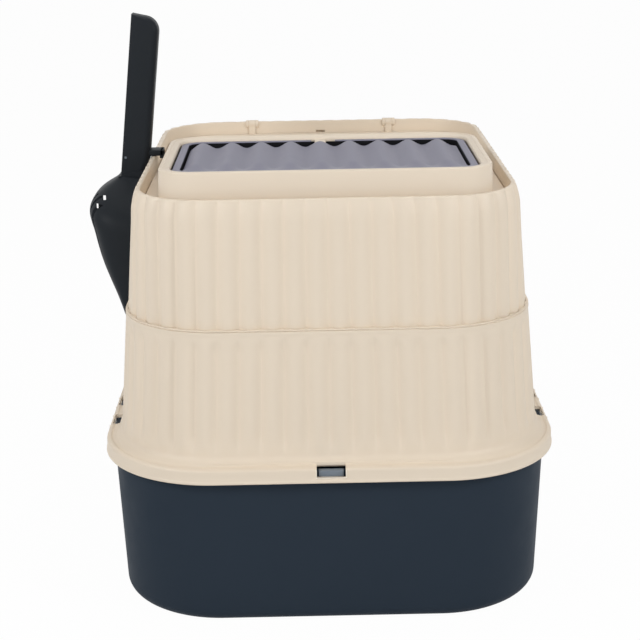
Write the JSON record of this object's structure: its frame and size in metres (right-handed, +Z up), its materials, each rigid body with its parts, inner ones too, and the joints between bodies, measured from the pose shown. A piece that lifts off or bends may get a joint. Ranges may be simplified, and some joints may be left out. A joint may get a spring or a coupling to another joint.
{
  "type": "foldable litter box",
  "caption": "Hooded litter box: dark tray, ribbed two-part hood that telescopes down, hinged lid with a corrugated skylight, swing entry flap and hanging scoop.",
  "frame": {"origin": "middle of the tray's underside, on the surface that the box stands on", "axes": "+Z up, -Y towards the pictured side, +Y towards the doorway, the scoop hangs on the -X side"},
  "size_m": [0.423, 0.48, 0.5033],
  "materials": {
    "tray_plastic": "dark blue-grey moulded plastic, fine matt grain",
    "hood_plastic": "warm cream moulded plastic, satin",
    "catch_plastic": "grey-blue moulded plastic",
    "smoky_plastic": "smoky translucent plastic, glossy",
    "scoop_plastic": "charcoal moulded plastic, satin",
    "pin_steel": "plain drawn wire"
  },
  "bodies": {
    "tray": {"litter_tray": "tray_plastic", "rim_catch_rear": "catch_plastic", "rim_catch_front": "catch_plastic", "rim_catch_left_rear": "catch_plastic", "rim_catch_left_front": "catch_plastic", "rim_catch_right_rear": "catch_plastic", "rim_catch_right_front": "catch_plastic"},
    "lower_hood": {"lower_hood": "hood_plastic"},
    "upper_hood": {"upper_hood": "hood_plastic", "lid_hinge_pin_left": "pin_steel", "lid_hinge_pin_right": "pin_steel"},
    "lid": {"top_lid": "hood_plastic"},
    "skylight": {"skylight_panel": "smoky_plastic", "skylight_pin_left": "pin_steel", "skylight_pin_right": "pin_steel"},
    "flap": {"entry_flap": "smoky_plastic", "entry_flap_pin_left": "pin_steel", "entry_flap_pin_right": "pin_steel"},
    "scoop": {"scoop_handle": "scoop_plastic", "scoop_bowl": "scoop_plastic"}
  },
  "joints": [
    {"name": "hood_lift", "type": "slide", "parent": "tray", "child": "lower_hood", "axis": [0, 0, 1], "range_m": [0, 0.15]},
    {"name": "hood_fold", "type": "slide", "parent": "lower_hood", "child": "upper_hood", "axis": [0, 0, 1], "range_m": [-0.105, 0]},
    {"name": "lid_swing", "type": "hinge", "parent": "upper_hood", "child": "lid", "pos_m": [0, 0.20065, 0.367], "axis": [-1, 0, 0], "range_deg": [0, 100]},
    {"name": "skylight_swing", "type": "hinge", "parent": "lid", "child": "skylight", "pos_m": [0, -0.17525, 0.3873], "axis": [1, 0, 0], "range_deg": [0, 100]},
    {"name": "entry_swing", "type": "hinge", "parent": "upper_hood", "child": "flap", "pos_m": [0, 0.2033, 0.321], "axis": [1, 0, 0], "range_deg": [-80, 75]},
    {"name": "scoop_lift", "type": "slide", "parent": "lower_hood", "child": "scoop", "axis": [0, 0, 1], "range_m": [0, 0.12]}
  ]
}
